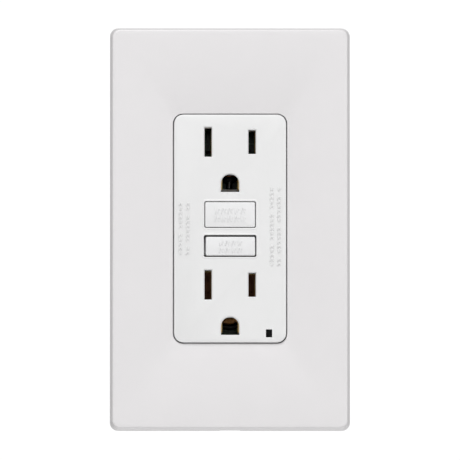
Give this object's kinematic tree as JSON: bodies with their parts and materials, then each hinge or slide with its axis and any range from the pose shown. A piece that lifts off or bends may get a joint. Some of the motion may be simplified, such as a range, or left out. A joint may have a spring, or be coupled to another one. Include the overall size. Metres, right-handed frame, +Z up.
{
  "type": "gfci outlet",
  "caption": "Ground-fault receptacle with reset and test buttons, plug openings, side terminals and a screwless wall plate.",
  "frame": {"origin": "device centre on the wall plane, where the strap's ears meet the wall box", "axes": "+X to the right seen from the room, +Y into the wall, +Z up; the face looks to -Y"},
  "size_m": [0.0694, 0.0344, 0.1168],
  "materials": {
    "plate_white": "satin moulded",
    "sub_plate_white": "fine matt",
    "face_white": "satin moulded",
    "button_white": "satin moulded",
    "smoked_lens": "polished, smoked",
    "zinc_steel": "zinc plated",
    "spring_steel": "drawn",
    "green_steel": "green dyed plating",
    "fibre": "pressed fibre",
    "housing_white": "fine matt",
    "housing_grey": "fine matt",
    "brass": "stamped",
    "nickel": "nickel plated",
    "copper": "bright copper",
    "board_green": "lacquered laminate",
    "dark_plastic": "fine matt",
    "disc_blue": "dipped coating",
    "resistor_tan": "dipped coating",
    "led_clear": "clear"
  },
  "bodies": {
    "root": {"box_screw_bottom": "zinc_steel", "box_screw_top": "zinc_steel", "capacitor": "dark_plastic", "circuit_board": "board_green", "coil_housing": "dark_plastic", "controller_chip": "dark_plastic", "front_cover": "face_white", "ground_contact_lower": "brass", "ground_contact_upper": "brass", "hot_face_contact": "brass", "housing_screw_bottom_left": "zinc_steel", "housing_screw_bottom_right": "zinc_steel", "housing_screw_top_left": "zinc_steel", "housing_screw_top_right": "zinc_steel", "indicator_led": "led_clear", "light_pipe": "smoked_lens", "line_conductor_hot": "copper", "line_conductor_neutral": "copper", "line_hot_terminal": "brass", "line_neutral_terminal": "nickel", "load_hot_terminal": "brass", "load_neutral_terminal": "nickel", "middle_housing": "housing_white", "mounting_strap": "zinc_steel", "neutral_coil": "copper", "neutral_face_contact": "brass", "plunger_spring": "spring_steel", "rear_housing": "housing_grey", "reset_spring": "spring_steel", "screw_retainer_bottom": "fibre", "screw_retainer_top": "fibre", "sense_coil": "copper", "solenoid_bobbin": "dark_plastic", "solenoid_winding": "copper", "sub_plate": "sub_plate_white", "sub_plate_screw_bottom": "zinc_steel", "sub_plate_screw_top": "zinc_steel", "surge_disc": "disc_blue", "test_resistor": "resistor_tan", "wall_plate": "plate_white"},
    "reset": {"reset_button": "button_white", "reset_pin": "spring_steel"},
    "test": {"test_button": "button_white"},
    "test_leaf": {"test_arm": "brass"},
    "plunger": {"plunger": "zinc_steel"},
    "carriage": {"latch_carriage": "housing_white", "latch_spring": "spring_steel"},
    "latch": {"latch_plate": "zinc_steel"},
    "hot_arm": {"hot_contact_arm": "copper"},
    "neutral_arm": {"neutral_contact_arm": "copper"},
    "ground_screw": {"ground_screw": "green_steel"},
    "load_neutral_clamp": {"load_neutral_clamp": "nickel"},
    "load_neutral_screw": {"load_neutral_screw": "nickel"},
    "load_hot_clamp": {"load_hot_clamp": "brass"},
    "load_hot_screw": {"load_hot_screw": "brass"},
    "line_neutral_clamp": {"line_neutral_clamp": "nickel"},
    "line_neutral_screw": {"line_neutral_screw": "nickel"},
    "line_hot_clamp": {"line_hot_clamp": "brass"},
    "line_hot_screw": {"line_hot_screw": "brass"}
  },
  "joints": [
    {"name": "reset_press", "type": "slide", "parent": "root", "child": "reset", "axis": [0, 1, 0], "range_m": [-0.001, 0.0016], "stiffness_N_per_m": 600, "deforming": ["reset_spring"]},
    {"name": "test_press", "type": "slide", "parent": "root", "child": "test", "axis": [0, 1, 0], "range_m": [0, 0.0014], "stiffness_N_per_m": 800},
    {"name": "test_leaf_bend", "type": "hinge", "parent": "root", "child": "test_leaf", "pos_m": [0.01, 0.0031, -0.00512], "axis": [0, 0, -1], "range_deg": [0, 8.2]},
    {"name": "plunger_stroke", "type": "slide", "parent": "root", "child": "plunger", "axis": [0, 0, -1], "range_m": [0, 0.002], "stiffness_N_per_m": 150, "deforming": ["plunger_spring"]},
    {"name": "carriage_drop", "type": "slide", "parent": "root", "child": "carriage", "axis": [0, 1, 0], "range_m": [0, 0.0013]},
    {"name": "latch_slide", "type": "slide", "parent": "carriage", "child": "latch", "axis": [0, 0, -1], "range_m": [0, 0.002], "deforming": ["latch_spring"]},
    {"name": "hot_arm_bend", "type": "hinge", "parent": "root", "child": "hot_arm", "pos_m": [0.00635, 0.0121, -0.0128], "axis": [-1, 0, 0], "range_deg": [0, 4.3]},
    {"name": "neutral_arm_bend", "type": "hinge", "parent": "root", "child": "neutral_arm", "pos_m": [-0.00635, 0.0121, -0.0128], "axis": [-1, 0, 0], "range_deg": [0, 4.3]},
    {"name": "ground_screw_turn", "type": "hinge", "parent": "root", "child": "ground_screw", "pos_m": [-0.0123, 0.0055, -0.0377], "axis": [-1, 0, 0], "range_deg": [0, 900]},
    {"name": "load_neutral_clamp_slide", "type": "slide", "parent": "root", "child": "load_neutral_clamp", "axis": [-1, 0, 0], "range_m": [0, 0.002]},
    {"name": "load_neutral_screw_turn", "type": "hinge", "parent": "load_neutral_clamp", "child": "load_neutral_screw", "pos_m": [-0.0199, 0.018, 0.022], "axis": [-1, 0, 0], "range_deg": [0, 900]},
    {"name": "load_hot_clamp_slide", "type": "slide", "parent": "root", "child": "load_hot_clamp", "axis": [1, 0, 0], "range_m": [0, 0.002]},
    {"name": "load_hot_screw_turn", "type": "hinge", "parent": "load_hot_clamp", "child": "load_hot_screw", "pos_m": [0.0199, 0.018, 0.022], "axis": [1, 0, 0], "range_deg": [0, 900]},
    {"name": "line_neutral_clamp_slide", "type": "slide", "parent": "root", "child": "line_neutral_clamp", "axis": [-1, 0, 0], "range_m": [0, 0.002]},
    {"name": "line_neutral_screw_turn", "type": "hinge", "parent": "line_neutral_clamp", "child": "line_neutral_screw", "pos_m": [-0.0199, 0.018, -0.022], "axis": [-1, 0, 0], "range_deg": [0, 900]},
    {"name": "line_hot_clamp_slide", "type": "slide", "parent": "root", "child": "line_hot_clamp", "axis": [1, 0, 0], "range_m": [0, 0.002]},
    {"name": "line_hot_screw_turn", "type": "hinge", "parent": "line_hot_clamp", "child": "line_hot_screw", "pos_m": [0.0199, 0.018, -0.022], "axis": [1, 0, 0], "range_deg": [0, 900]}
  ],
  "couplings": [
    {"joint": "test_leaf_bend", "follows": "test_press", "rad_per_m": 101},
    {"joint": "carriage_drop", "follows": "plunger_stroke", "ratio": 0.6},
    {"joint": "latch_slide", "follows": "plunger_stroke", "ratio": 1},
    {"joint": "hot_arm_bend", "follows": "plunger_stroke", "rad_per_m": 35.7},
    {"joint": "neutral_arm_bend", "follows": "plunger_stroke", "rad_per_m": 35.7},
    {"joint": "load_neutral_screw_turn", "follows": "load_neutral_clamp_slide", "rad_per_m": 7853.9},
    {"joint": "load_hot_screw_turn", "follows": "load_hot_clamp_slide", "rad_per_m": 7853.9},
    {"joint": "line_neutral_screw_turn", "follows": "line_neutral_clamp_slide", "rad_per_m": 7853.9},
    {"joint": "line_hot_screw_turn", "follows": "line_hot_clamp_slide", "rad_per_m": 7853.9}
  ]
}
